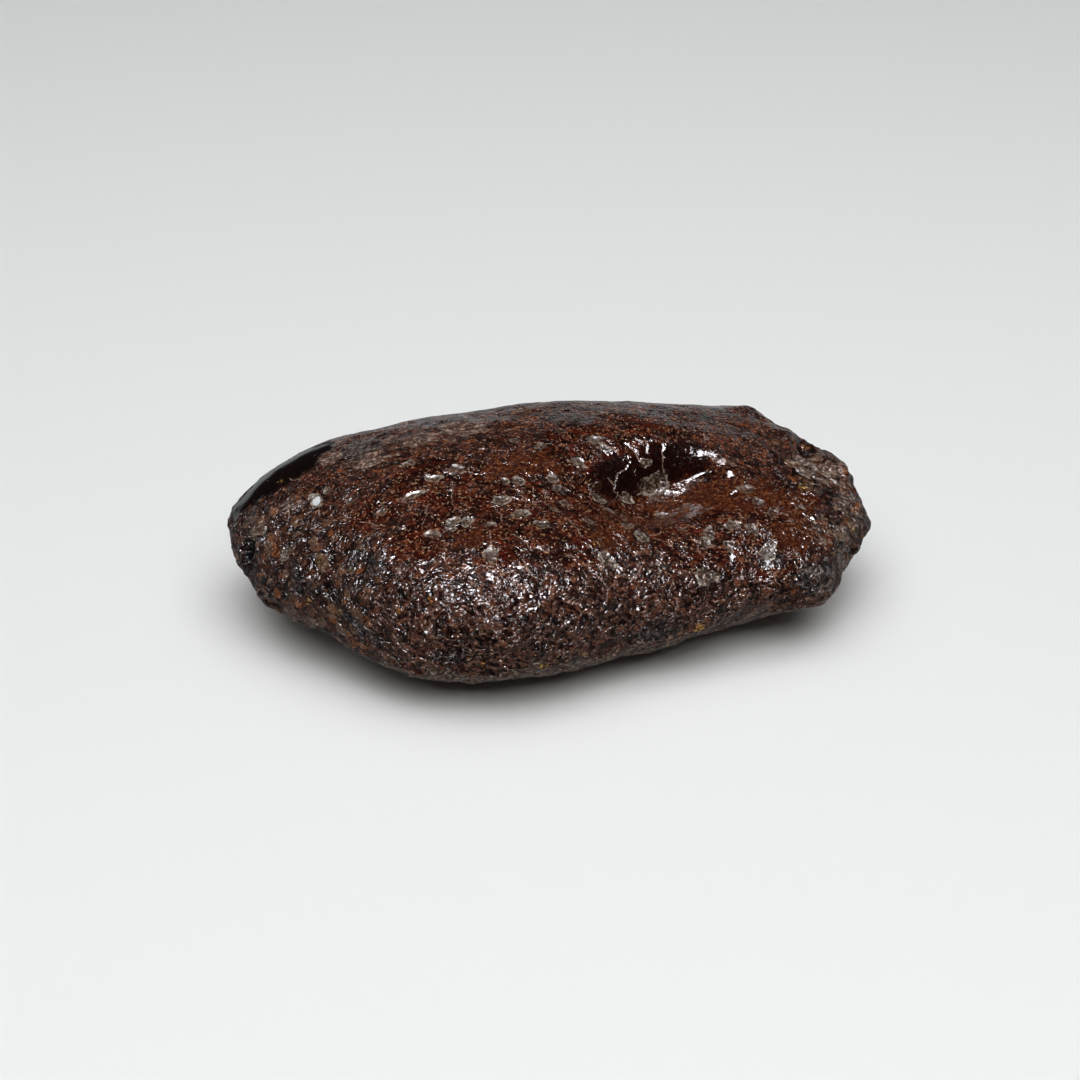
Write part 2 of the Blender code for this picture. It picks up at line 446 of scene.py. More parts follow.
def beside_wall(shape, skin):
    """How far each vertex is in front of the hollow's wall in mm, and two shares that are 1
    beside the wall and beside its part darkened as painted shade, and 0 past their ends."""
    knots = [skin.place(x, y)[0] / MM for x, y in WALL]
    x, y, z = shape.places.T / MM
    nearest = np.full(len(x), np.inf)
    front = np.zeros(len(x))
    run = np.zeros(len(x))
    length = 0.0
    for a, b in zip(knots, knots[1:]):
        step = Vector((b.x - a.x, b.y - a.y))
        share = ((x - a.x) * step.x + (y - a.y) * step.y) / step.length_squared
        held = np.clip(share, 0, 1)
        away = np.hypot(x - a.x - held * step.x, y - a.y - held * step.y)
        side = np.sign((x - a.x) * step.y - (y - a.y) * step.x)
        closer = away < nearest
        front[closer] = (side * away)[closer]
        run[closer] = (length + held * step.length)[closer]
        nearest = np.minimum(nearest, away)
        length += step.length
    high = smooth_step(12, 14, z)
    end = smooth_step(0, 12, run) * smooth_step(length - 2, length - 7, run) * high
    dark = smooth_step(1, 4, run) * smooth_step(length - 5.5, length - 7, run) * high
    return front, end, dark


def steepen_wall(shape, skin):
    """Makes the hollow's wall steeper: up behind it and down in front, both fading out."""
    front, end, _ = beside_wall(shape, skin)
    low = np.clip(0.5 + front / (2 * WALL_HALF), 0, 1) ** 1.8
    behind = np.exp(-((np.maximum(-front - WALL_HALF, 0) / WALL_UP_FADE) ** 2))
    before = smooth_step(WALL_DOWN_FADE, 0, np.maximum(front - WALL_HALF, 0))
    shape.height += end * (WALL_UP * (1 - low) * behind - WALL_DOWN * low * before)


def main_masks(shape, skin):
    """Which part of the surface is what: polished, clear, chalky, gold, cold or crust."""
    x, y, z = shape.places.T / MM
    _, ny, nz = shape.normals.T
    broad = shape.field(9, "fractal", 3.1)
    patchy = shape.field(4, "fractal", 8.2)
    ragged = shape.field(2, "fractal", 5.5)

    behind = smooth_step(0.30, 0.62, ny + 0.10 * broad + 0.05 * ragged)
    behind *= smooth_step(0.90, 0.70, ny + 0.12 * broad + 0.06 * ragged)
    behind *= smooth_step(0.0, 0.25, nz)
    shoulder = np.zeros(len(z))
    for px, py, radius in SHOULDER:
        away, _ = spot(shape, skin.place(px, py), radius, radius, 0)
        edge = away + 0.35 * ragged + 0.25 * patchy
        shoulder = np.maximum(shoulder, 1 - smooth_step(0.7, 1.2, edge))
    shape.masks["polish"] = np.maximum(behind, shoulder)

    def patches(rows, soft, rough):
        found = np.zeros(len(z))
        for px, py, length, width, turn in rows:
            away, _ = spot(shape, skin.place(px, py), length, width, turn)
            edge = away + rough * (0.6 * patchy + 0.5 * ragged)
            found = np.maximum(found, 1 - smooth_step(1 - soft, 1 + soft, edge))
        return found

    hidden = smooth_step(-0.15, 0.3, ny) + smooth_step(-0.1, -0.6, nz)
    window = patches(WINDOWS, 0.25, 0.45)
    window = np.maximum(window, np.clip(hidden, 0, 1) * smooth_step(0.1, 0.35, patchy))
    window *= 0.35 + 0.65 * smooth_step(-0.25, 0.15, ragged)
    shape.masks["window"] = window * (1 - shape.masks["polish"])
    shape.masks["chalk"] = patches(CHALK, 0.35, 0.5) * (1 - window)
    # The deep mask marks the hollow's wall, whose colour is darkened as painted shade.
    front, _, end = beside_wall(shape, skin)
    ragged_wall = np.abs(front + 0.4 + 0.4 * patchy) - 0.5 * ragged
    shape.masks["deep"] = end * smooth_step(WALL_HALF + 0.7, WALL_HALF - 0.3, ragged_wall)
    shape.masks["gold"] = patches(GOLD, 0.45, 0.6)
    shape.masks["cold"] = patches(COLD, 0.35, 0.5) * (1 - shape.masks["gold"])
    rim = smooth_step(8.0, 5.6, z + 1.6 * patchy + 0.8 * ragged)
    shape.masks["crust"] = rim * (1 - shape.masks["polish"])
    ends = smooth_step(-12, -30, x + 5 * broad + 2 * ragged) * smooth_step(24, 16, z)
    ends = np.maximum(ends, smooth_step(27, 37, x + 6 * broad + 2 * ragged))
    shape.masks["bark"] = ends * (1 - shape.masks["polish"]) * (1 - 0.6 * window)


def main_relief(shape):
    """Lumps, broad wrinkles and the crust's own roughness."""
    polish, window, crust = (shape.masks[name] for name in ("polish", "window", "crust"))
    bare = (1 - polish) * (1 - 0.85 * shape.masks["deep"])
    nz = shape.normals[:, 2]
    flank = 0.30 + 0.45 * smooth_step(0.93, 0.80, nz) + 0.25 * smooth_step(0.75, 0.3, nz)
    crepe = bare * (1 - 0.8 * window) * flank
    right = smooth_step(22, 36, shape.places[:, 0] / MM) * bare
    shape.height += 0.22 * shape.field(5.5, "fractal", 1.3) * (0.25 + 0.75 * bare)
    shape.height += 0.26 * shape.field(3.4, "fractal", 6.1) * crepe
    shape.height += 0.14 * (shape.field(1.9, "ridged", 2.2) - 1.0) * crepe
    shape.height += 0.12 * shape.field(1.8, "fractal", 7.7) * crepe
    shape.height += 0.22 * (shape.field(2.2, "cells", 4.4) - 0.35) * crust * bare
    shape.height += 0.60 * (shape.field(4.2, "cells", 9.4) - 0.35) * right
    shape.height += 0.45 * (shape.field(2.0, "cells", 6.4) - 0.35) * shape.masks["bark"]
    z = shape.places[:, 2] / MM
    ledge = np.exp(-(((z - 7.0 - 1.5 * shape.field(9, "plain", 2.9)) / 0.7) ** 2))
    shape.height += 0.35 * ledge * bare * (0.6 + 0.8 * shape.field(3, "plain", 5.9))
    shape.masks["crepe"] = crepe
    shape.masks["steep"] = smooth_step(0.55, 0.1, nz) * crepe


def add_pits(shape, skin, pits):
    """Shallow scars with a low rim. The pit mask is a half on the edge and 1 in the middle."""
    pit = np.zeros(len(shape.places))
    pale = np.zeros(len(shape.places))
    for number, (place, length, width, turn, paleness) in enumerate(pits):
        away, angle = spot(shape, place, length, width, turn)
        near = np.flatnonzero(away < 2.4)
        radius = away[near]
        waves = 0.13 * np.sin(2 * angle[near] + number) + 0.10 * np.sin(
            3 * angle[near] + 2.3 * number
        ) + 0.06 * np.sin(5 * angle[near] + 1.1 * number)
        radius = radius * (1 + waves)
        bowl = 1 - smooth_step(0.45, 1.0, radius)
        rim = np.exp(-(((radius - 1.02) / 0.16) ** 2))
        depth = 0.16 * math.sqrt(length * width)
        shape.height[near] += 0.05 * rim - depth * bowl
        inside = np.clip(1 - radius / 2, 0, 1)
        pale[near] = np.where(inside > pit[near], paleness, pale[near])
        pit[near] = np.maximum(pit[near], inside)
    shape.masks["pit"] = pit
    shape.masks["pale"] = pale


def add_cracks(shape, points):
    """Hairline grooves. The crack mask falls from 1 in a crack to 0 at CRACK_SPREAD."""
    tree = KDTree(len(points))
    for index, point in enumerate(points):
        tree.insert(point, index)
    tree.balance()
    away = np.array([tree.find(Vector(p))[2] for p in shape.places]) / MM
    shape.height -= 0.10 * (1 - smooth_step(0.05, 0.22, away))
    shape.masks["crack"] = 1 - away / CRACK_SPREAD


def add_flecks(shape, skin):
    """Yellow and red specks, and the one white spot, a painted highlight."""
    fleck = np.zeros(len(shape.places))
    red = np.zeros(len(shape.places))
    for px, py, radius, redness in FLECKS:
        away, _ = spot(shape, skin.place(px, py), radius, radius * 0.8, 0)
        here = 1 - smooth_step(0.6, 1.2, away)
        red = np.where(here > fleck, redness, red)
        fleck = np.maximum(fleck, here)
    shape.masks["fleck"] = fleck
    shape.masks["red"] = red
    px, py, radius = PAINTED_GLINT
    away, _ = spot(shape, skin.place(px, py), radius, radius * 1.2, 0)
    shape.masks["pearl"] = 1 - smooth_step(0.5, 1.1, away)


def add_knobs(shape, skin):
    """The lumps and notches that break the outline, most of them at the right end."""
    for px, py, radius, height in KNOBS:
        away, _ = spot(shape, skin.place(px, py), radius, radius, 0)
        shape.height += height * np.exp(-1.6 * away * away)


def add_left_pit(shape, skin):
    """The dark hole in the left end, with its raised edge; the darkness is painted shade."""
    px, py, length, width, turn = LEFT_PIT
    away, _ = spot(shape, skin.place(px, py), length, width, turn)
    shape.height -= 1.3 * (1 - smooth_step(0.2, 1.0, away))
    shape.height += 0.3 * np.exp(-(((away - 1.2) / 0.2) ** 2))
    # The dark mask darkens the hole as painted shade.
    shape.masks["dark"] = 1 - smooth_step(0.6, 1.0, away)


def settle(shape, body):
    """Applies the relief, which fades out at the foot, and stores the masks on the mesh."""
    z = shape.places[:, 2] / MM
    fade = smooth_step(0.15, 1.6, z)
    moved = shape.places + shape.normals * (shape.height * fade * MM)[:, None]
    moved[:, 2] = np.maximum(moved[:, 2], 0)
    mesh = body.data
    mesh.vertices.foreach_set("co", moved.astype(np.float32).ravel())
    for name, values in shape.masks.items():
        attribute = mesh.attributes.new(name, "FLOAT", "POINT")
        attribute.data.foreach_set("value", np.clip(values, 0, 1).astype(np.float32))
    mesh.update()
    mesh.shade_smooth()


# ------------------------------------------------------------------------------- materials


class Graph:
    """Short calls for building a material's nodes."""

    def __init__(self, name):
        self.material = bpy.data.materials.new(name)
        self.material.use_nodes = True
        self.tree = self.material.node_tree
        self.tree.nodes.clear()
        self.output = self.node("ShaderNodeOutputMaterial")
        self.space = self.node("ShaderNodeTexCoord").outputs["Object"]

    def node(self, kind, inputs=(), **settings):
        made = self.tree.nodes.new(kind)
        for key, value in settings.items():
            setattr(made, key, value)
        for key, value in dict(inputs).items():
            self.put(value, made.inputs[key])
        return made

    def put(self, value, socket):
        """Links an output to a socket, or sets the socket's own value."""
        if isinstance(value, bpy.types.NodeSocket):
            self.tree.links.new(value, socket)
        else:
            socket.default_value = value

    def mask(self, name):
        return self.node("ShaderNodeAttribute", attribute_name=name).outputs["Fac"]

    def noise(self, size, detail=2.0, distortion=0.0, roughness=0.5, along=1.0):
        """A noise whose lumps are about size millimetres across, and along times as long."""
        space = self.space
        if along != 1:
            space = self.vector("MULTIPLY", space, (1 / along, 1, 1))
        inputs = {"Vector": space, "Scale": 1 / (size * MM), "Detail": detail}
        inputs.update({"Distortion": distortion, "Roughness": roughness})
        return self.node("ShaderNodeTexNoise", inputs).outputs[0]

    def crossing(self, *settings):
        """How far a noise is from its middle: 0 along thin, winding lines."""
        wave = self.noise(*settings)
        return self.math("ABSOLUTE", self.math("SUBTRACT", wave, 0.5))

    def flakes(self, size):
        """A random tone for each flake about size millimetres across, how far a place is from
        the flake's edge, and its height in millimetres on a flake that leans at random."""
        inputs = {"Vector": self.space, "Scale": 1 / (size * MM), "Detail": 1.0}
        shift = self.node("ShaderNodeTexNoise", inputs).outputs["Color"]
        place = self.vector("MULTIPLY_ADD", shift, (FLAKE_BEND * size * MM,) * 3, self.space)
        inputs = {"Vector": place, "Scale": 1 / (size * MM)}
        cell = self.node("ShaderNodeTexVoronoi", inputs, feature="F1")
        tone = self.node("ShaderNodeSeparateColor", {0: cell.outputs["Color"]}).outputs[0]
        lean = self.vector("SUBTRACT", cell.outputs["Color"], (0.5, 0.5, 0.5))
        offset = self.vector("SUBTRACT", place, cell.outputs["Position"])
        inputs = {0: self.vector("SCALE", offset, scale=1 / MM), 1: lean}
        tilt = self.node("ShaderNodeVectorMath", inputs, operation="DOT_PRODUCT")
        return tone, self.between(cell.outputs["Distance"], 0.75, 0.45), tilt.outputs["Value"]

    def vector(self, operation, a, b=(0, 0, 0), c=(0, 0, 0), scale=None):
        inputs = {0: a, 1: b, 2: c} if scale is None else {0: a, "Scale": scale}
        return self.node("ShaderNodeVectorMath", inputs, operation=operation).outputs[0]

    def ramp(self, value, *stops):
        """A colour for a value, from stops that are each a position and a colour."""
        made = self.node("ShaderNodeValToRGB", {0: value})
        elements = made.color_ramp.elements
        while len(elements) < len(stops):
            elements.new(1.0)
        for element, (position, color) in zip(elements, stops):
            element.position = position
            element.color = color
        return made.outputs[0]

    def math(self, operation, a, b=0.0, c=0.0):
        made = self.node("ShaderNodeMath", {0: a, 1: b, 2: c}, operation=operation)
        return made.outputs[0]

    def times(self, a, b):
        return self.math("MULTIPLY", a, b)

    def sum(self, a, b, c):
        """A times b, plus c."""
        return self.math("MULTIPLY_ADD", a, b, c)

    def between(self, value, low, high, start=0.0, end=1.0):
        """Value from low to high, smoothly mapped to start to end."""
        inputs = {"Value": value, "From Min": low, "From Max": high}
        inputs.update({"To Min": start, "To Max": end})
        made = self.node("ShaderNodeMapRange", inputs, interpolation_type="SMOOTHSTEP")
        return made.outputs[0]

    def mix(self, share, a, b):
        """Colour a with a share of colour b."""
        made = self.node("ShaderNodeMix", data_type="RGBA")
        self.put(share, made.inputs["Factor"])
        self.put(a, made.inputs["A_Color"] if "A_Color" in made.inputs else made.inputs[6])
        self.put(b, made.inputs["B_Color"] if "B_Color" in made.inputs else made.inputs[7])
        return made.outputs[2]

    def tint(self, color, share, weight, tone):
        """A colour with a share of a tone over it, at most weight."""
        return self.mix(self.times(share, weight), color, tone)

    def blend(self, share, a, b):
        """Number a with a share of number b."""
        made = self.node("ShaderNodeMix", {0: share, 2: a, 3: b}, data_type="FLOAT")
        return made.outputs[0]

    def layers(self, value, *rows):
        """A number, with each row's own number where that row's mask is, the last on top."""
        for mask, layer in rows:
            value = self.blend(mask, value, layer)
        return value

    def surface(self, inputs):
        """Ends the material with a plain surface that has these inputs."""
        shader = self.node("ShaderNodeBsdfPrincipled", inputs)
        self.put(shader.outputs[0], self.output.inputs["Surface"])
        return self.material


def amber_patterns(g):
    """The patterns and masks that the amber's colour, clearness and relief share."""
    p = SimpleNamespace()
    for name in ("polish", "dark", "deep", "fleck", "red", "steep"):
        setattr(p, name, g.mask(name))

    # Leaning flakes, plump folds, thin crimps and the troughs between them, and grains.
    p.tone, p.flake, p.lean = g.flakes(1.3)
    p.chip, _, p.chip_lean = g.flakes(0.72)
    p.folds = g.between(g.crossing(2.4, 1.0, 1.0), 0.0, 0.22)
    crossing = g.crossing(1.6, 1.0, 0.8)
    # The troughs between the crimps, whose colour is darkened as painted shade.
    p.trough = g.between(crossing, 0.04, 0.13)
    p.crimp = g.between(crossing, 0.09, 0.0)
    p.grit = g.noise(0.45, 1.0, 0.3)
    p.sand = g.noise(1.0, 2.0, 0.5)
    p.broad = g.between(g.noise(5.0, 4.0, 0.5), 0.38, 0.62)
    p.patchy = g.between(g.noise(1.1, 4.0, 0.6, 0.6, along=2.0), 0.40, 0.62)
    p.grain = g.between(g.noise(0.42, 2.0, 0.4, 0.55, along=1.3), 0.48, 0.63)
    sparse = g.between(g.noise(2.6, 3.0, 0.8, 0.6, along=1.6), 0.42, 0.60, 0.15, 1.0)
    p.grains = g.times(p.grain, sparse)
    p.speck = g.between(g.noise(0.38, 1.0, 0.2), 0.61, 0.67)

    # Crisp, ragged edges for the masks, which are soft on the mesh.
    ragged = g.math("SUBTRACT", p.sand, 0.5)
    streak = g.math("SUBTRACT", g.noise(1.2, 4.0, 0.4, 0.65, along=2.6), 0.5)

    def crisp(name, share, low, high, shift=ragged):
        return g.between(g.sum(shift, share, g.mask(name)), low, high)

    p.window = crisp("window", 1.8, 0.20, 0.75)
    p.crust = crisp("crust", 1.6, 0.25, 0.70)
    p.bark = crisp("bark", 1.6, 0.25, 0.8)
    p.chalk = crisp("chalk", 5.0, 0.50, 1.3, streak)
    p.gold = crisp("gold", 2.2, 0.35, 0.95)
    p.cold = crisp("cold", 2.2, 0.45, 1.0)
    p.crack = crisp("crack", 0.25, 0.80, 0.88)
    p.pearl = crisp("pearl", 1.0, 0.3, 0.7)
    p.soot = g.between(g.sum(ragged, 0.8, p.chip), 0.40, 0.30)
    p.rust = g.between(g.sum(ragged, 0.8, p.chip), 0.86, 0.93)
    still = g.math("SUBTRACT", 1.0, g.math("MAXIMUM", p.window, p.polish))
    p.crepe = g.times(g.mask("crepe"), still)
    # Creases: a groove in the relief, and painted shade in the colour.
    p.crease = g.between(g.crossing(4.0, 3.0, 0.6, 0.55), 0.022, 0.004)
    p.crease = g.times(p.crease, g.times(g.between(p.sand, 0.35, 0.6), still))

    # The pits: how pale each is, its inside and its broken rim.
    p.pale = g.times(g.mask("pale"), g.math("SUBTRACT", 1.0, p.polish))
    pit = g.sum(ragged, 0.5, g.mask("pit"))
    p.scar = g.between(pit, 0.48, 0.60)
    broken = g.between(g.noise(1.1, 2.0, 0.4), 0.44, 0.62)
    rim = g.times(g.between(pit, 0.46, 0.50), g.between(pit, 0.66, 0.58))
    p.rim = g.times(rim, g.times(broken, p.pale))
    return p


def skin_color(g, p):
    """Red-brown skin: grains, soot and rust, crimps lightened as a painted highlight over troughs
    darkened as painted shade, lighter grains on steep flanks, bark at the ends.
    """
    color = g.mix(p.broad, (0.020, 0.005, 0.003, 1), (0.062, 0.018, 0.008, 1))
    color = g.tint(color, p.patchy, 0.6, (0.088, 0.027, 0.012, 1))
    color = g.tint(color, p.grains, 0.60, (0.185, 0.096, 0.064, 1))
    color = g.tint(color, p.speck, 0.7, (0.32, 0.21, 0.14, 1))
    color = g.tint(color, p.soot, 0.65, (0.007, 0.002, 0.0015, 1))
    color = g.tint(color, p.rust, 0.6, (0.170, 0.062, 0.024, 1))
    # Painted light: the crimps' ridges are lightened as a painted highlight, and the troughs
    # between them are darkened as painted shade.
    lit_ridge = g.times(g.math("SUBTRACT", 1.0, p.trough), p.crepe)
    color = g.tint(color, lit_ridge, 0.30, (0.150, 0.088, 0.064, 1))
    color = g.tint(color, g.times(p.trough, p.crepe), 0.72, (0.006, 0.0012, 0.0008, 1))
    # Lighter grains on the steep, down-facing flanks: partly the skin's grain, partly painted light
    # that brightens these flanks.
    color = g.tint(color, g.times(p.steep, p.grain), 0.35, (0.200, 0.120, 0.080, 1))
    flaky = g.ramp(
        p.tone,
        (0.00, (0.007, 0.002, 0.0015, 1)),
        (0.35, (0.026, 0.008, 0.005, 1)),
        (0.60, (0.085, 0.036, 0.018, 1)),
        (0.80, (0.140, 0.080, 0.045, 1)),
        (0.90, (0.210, 0.150, 0.100, 1)),
        (0.97, (0.230, 0.085, 0.022, 1)),
    )
    color = g.tint(color, p.bark, 0.5, flaky)
    gap = g.times(g.between(p.flake, 0.35, 0.0), p.bark)
    return g.tint(color, gap, 0.8, (0.008, 0.003, 0.002, 1))


def window_color(g, p):
    """What comes back from just under a clear window: deep red with sparse lighter grains."""
    color = g.mix(p.patchy, (0.010, 0.0015, 0.0008, 1), (0.058, 0.011, 0.003, 1))
    color = g.tint(color, p.soot, 0.7, (0.008, 0.001, 0.0006, 1))
    color = g.tint(color, p.grains, 0.62, (0.185, 0.076, 0.038, 1))
    return g.tint(color, p.speck, 0.6, (0.30, 0.20, 0.12, 1))


def patch_color(g, p, color):
    """Gold, chalky and cold patches, creases darkened as painted shade, rind, the hollow's wall
    darkened as painted shade, and the polish.
    """
    warm = g.mix(p.grain, (0.050, 0.012, 0.003, 1), (0.125, 0.046, 0.015, 1))
    color = g.tint(color, p.gold, 0.8, warm)
    bone = g.mix(p.grain, (0.095, 0.062, 0.043, 1), (0.34, 0.27, 0.21, 1))
    color = g.tint(color, p.chalk, 0.65, bone)
    slate = g.mix(p.grain, (0.012, 0.010, 0.010, 1), (0.10, 0.105, 0.105, 1))
    color = g.tint(color, p.cold, 0.5, slate)
    # Painted shade: the creases are darkened where shade falls in them.
    color = g.tint(color, p.crease, 0.85, (0.006, 0.002, 0.0015, 1))
    rind = g.mix(p.grain, (0.055, 0.030, 0.020, 1), (0.27, 0.19, 0.13, 1))
    color = g.tint(color, p.crust, 0.75, rind)
    # Painted shade: the hollow's wall is darkened to near black.
    color = g.tint(color, p.deep, 0.9, (0.010, 0.002, 0.0015, 1))
    return g.mix(p.polish, color, (0.008, 0.003, 0.002, 1))


def mark_color(g, p, color):
    """Small marks: flecks, pits with pale rims, cracks, the white spot as a painted highlight and
    the left pit darkened as painted shade.
    """
    spark = g.mix(p.red, (0.42, 0.29, 0.08, 1), (0.36, 0.085, 0.02, 1))
    color = g.mix(g.times(p.fleck, p.grain), color, spark)
    frost = g.mix(p.grain, (0.060, 0.034, 0.020, 1), (0.30, 0.24, 0.18, 1))
    color = g.tint(color, g.times(p.scar, p.pale), 0.72, frost)
    color = g.tint(color, p.rim, 0.8, (0.38, 0.33, 0.26, 1))
    color = g.tint(color, p.crack, 0.75, (0.34, 0.22, 0.17, 1))
    # Painted highlight: the white spot is a glint painted into the colour.
    color = g.mix(p.pearl, color, (0.66, 0.67, 0.70, 1))
    # Painted shade: the left pit's hole is darkened to near black.
    return g.mix(p.dark, color, (0.004, 0.003, 0.003, 1))


def amber_height(g, p):
    """Wrinkles, flakes and grit on top of the mesh's own relief, in millimetres."""
    bare = g.math("SUBTRACT", 1.0, p.polish)
    lift = g.times(p.crepe, g.sum(p.steep, 1.0, 1.0))
    coarse = g.blend(p.window, g.blend(p.crust, 0.12, 0.25), 0.06)
    gritty = g.blend(g.math("MAXIMUM", p.scar, p.chalk), 0.02, 0.06)
    gritty = g.blend(p.window, gritty, 0.012)
    height = g.times(g.times(p.folds, p.crepe), 0.30)
    height = g.sum(g.times(p.crimp, lift), 0.11, height)
    height = g.sum(p.sand, g.times(coarse, bare), height)
    plates = g.sum(p.flake, 0.10, g.times(p.lean, 0.55))
    height = g.sum(plates, p.bark, height)
    height = g.sum(p.chip_lean, g.times(lift, 0.45), height)
    height = g.sum(p.crease, -0.16, height)
    return g.sum(p.grit, g.times(gritty, bare), height)


def amber_material():
    """Dark red-brown resin under a finely wrinkled skin."""
    g = Graph("amber")
    p = amber_patterns(g)
    color = patch_color(g, p, g.mix(p.window, skin_color(g, p), window_color(g, p)))
    color = g.node("ShaderNodeGamma", {"Color": color, "Gamma": DEEPEN}).outputs[0]
    color = mark_color(g, p, g.vector("MULTIPLY", color, DEEPEN_GAIN))

    # How clear each part is. The base colour grows with it, so that what the skin itself
    # gives back stays the same.
    clear = g.layers(
        g.blend(p.crepe, 0.20, 0.25), (p.window, 0.82), (p.polish, 0.60), (p.gold, 0.55),
        (p.crust, 0.05), (p.chalk, 0.1), (p.cold, 0.1), (p.deep, 0.80), (p.scar, 0.1),
        (p.crack, 0.0), (p.dark, 0.0),
    )
    gain = g.math("DIVIDE", 1.0, g.math("SUBTRACT", 1.0, clear))
    rough = g.layers(
        0.19, (p.window, 0.10), (p.crust, 0.45), (p.gold, 0.16), (p.chalk, 0.36),
        (p.scar, 0.30), (p.polish, 0.07), (p.deep, 0.10),
    )
    inputs = {"Strength": 1.0, "Distance": MM, "Height": amber_height(g, p)}
    inputs = {
        "Base Color": g.vector("SCALE", color, scale=gain),
        "Roughness": rough,
        "Transmission Weight": clear,
        "IOR": AMBER_IOR,
        "Specular IOR Level": SHEEN_LEVEL,
        "Normal": g.node("ShaderNodeBump", inputs).outputs[0],
    }
    shader = g.node("ShaderNodeBsdfPrincipled", inputs)
    inputs = {"Color": ABSORPTION_COLOR, "Density": ABSORPTION_DENSITY}
    volume = g.node("ShaderNodeVolumeAbsorption", inputs)
    g.put(shader.outputs[0], g.output.inputs["Surface"])
    g.put(volume.outputs[0], g.output.inputs["Volume"])
    return g.material


# ---------------------------------------------------------------------- sealed in the resin


def under_windows(skin):
    """A place under the skin, most often under a window, with a normal and a depth."""
    if RANDOM.random() < 0.8:
        px, py, length, width, _ = WINDOWS[RANDOM.integers(len(WINDOWS))]
        point, normal = skin.place(px, py)
        along, across = tangents(normal, 0)
        aside = along * RANDOM.normal() * length + across * RANDOM.normal() * width
        point, normal = skin.on(point + aside * 0.5 * MM)
    else:
        aim = Vector(RANDOM.normal(size=3)).normalized()
        point, normal = skin.on(Vector((aim.x * 0.046, aim.y * 0.028, 0.013 + aim.z * 0.014)))
    return point, normal


def clear_of_skin(skin, place, reach):
    """True if the place is inside and farther from the skin than reach."""
    near, normal = skin.on(place)
    return (near - place).dot(normal) > 0 and (near - place).length > reach


def new_piece(name, bm, material):
    """An object with a finished mesh and one material."""
    mesh = bpy.data.meshes.new(name)
    bm.to_mesh(mesh)
    bm.free()
    mesh.shade_smooth()
    mesh.materials.append(material)
    piece = bpy.data.objects.new(name, mesh)
    bpy.context.scene.collection.objects.link(piece)
    return piece


def sealed_piece(name, bm, material):
    piece = new_piece(name, bm, material)
    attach(piece, "root")


def spangle_material():
    """The bright face of a crack that is wholly inside the resin."""
    g = Graph("sealed crack")
    grain = g.between(g.noise(0.6, 3.0, 0.5), 0.35, 0.65)
    color = g.mix(grain, (0.16, 0.07, 0.02, 1), (0.50, 0.34, 0.14, 1))
    return g.surface({"Base Color": color, "Roughness": g.between(grain, 0, 1, 0.45, 0.15)})


def debris_material():
    """Dark bits of bark and soil."""
    g = Graph("sealed debris")
    grain = g.between(g.noise(0.4, 3.0), 0.35, 0.65)
    color = g.mix(grain, (0.016, 0.009, 0.006, 1), (0.10, 0.05, 0.022, 1))
    return g.surface({"Base Color": color, "Roughness": 0.75})


def bubble_material():
    """The mirror-like wall of a small gas bubble."""
    g = Graph("sealed bubble")
    shade = g.between(g.noise(2.0), 0.3, 0.7)
    color = g.mix(shade, (0.78, 0.50, 0.22, 1), (0.95, 0.80, 0.55, 1))
    return g.surface({"Base Color": color, "Roughness": 0.08})


def make_spangles(skin):
    """Cupped, ragged, disc-like cracks, each a thin closed lens."""
    bm = bmesh.new()
    made = 0
    while made < SPANGLES:
        point, normal = under_windows(skin)
        radius = RANDOM.uniform(0.5, 1.7) * MM
        place = point - normal * RANDOM.uniform(1.8, 6.0) * MM
        if not clear_of_skin(skin, place, radius + 0.5 * MM):
            continue
        lean = Vector(RANDOM.normal(size=3)) * 0.35
        facing = (normal + lean).normalized().to_track_quat("Z", "Y").to_matrix().to_4x4()
        matrix = Matrix.Translation(place) @ facing @ Matrix.Diagonal(
            (radius, radius * RANDOM.uniform(0.55, 1), radius * 0.05, 1)
        )
        lens = bmesh.ops.create_icosphere(bm, subdivisions=3, radius=1)["verts"]
        seed = Vector(RANDOM.uniform(-50, 50, size=3))
        for vertex in lens:
            ragged = 1 + 0.30 * noise.noise(vertex.co * 1.8 + seed)
            cup = 3.0 * (vertex.co.x**2 + vertex.co.y**2)
            vertex.co = Vector((vertex.co.x * ragged, vertex.co.y * ragged, vertex.co.z - cup))
            vertex.co = matrix @ vertex.co
        made += 1
    sealed_piece("sealed_cracks", bm, spangle_material())


def make_bits(skin, name, count, sizes, rough, material):
    """Small closed lumps at random depths; rough is how far from round they are."""
    bm = bmesh.new()
    made = 0
    while made < count:
        point, normal = under_windows(skin)
        radius = RANDOM.uniform(*sizes) * MM
        place = point - normal * RANDOM.uniform(0.7, 4.5) * MM
        if not clear_of_skin(skin, place, 2 * radius + 0.4 * MM):
            continue
        lump = bmesh.ops.create_icosphere(bm, subdivisions=2, radius=radius)["verts"]
        seed = Vector(RANDOM.uniform(-50, 50, size=3))
        long = Vector(RANDOM.normal(size=3)).normalized()
        for vertex in lump:
            away = 1 + rough * 1.4 * noise.noise(vertex.co / radius + seed)
            vertex.co = vertex.co * away + long * vertex.co.dot(long) * rough * 1.5
            vertex.co += place
        made += 1
    sealed_piece(name, bm, material)


# ------------------------------------------------------------------------ studio and lights


def make_floor():
    """A wide pale floor. It is left out of reflections, as bump can't hide it from the skin."""
    bm = bmesh.new()
    bmesh.ops.create_grid(bm, x_segments=1, y_segments=1, size=FLOOR_SIZE / 2)
    floor = new_piece("floor", bm, Graph("paper").surface(PAPER))
    floor.visible_glossy = False


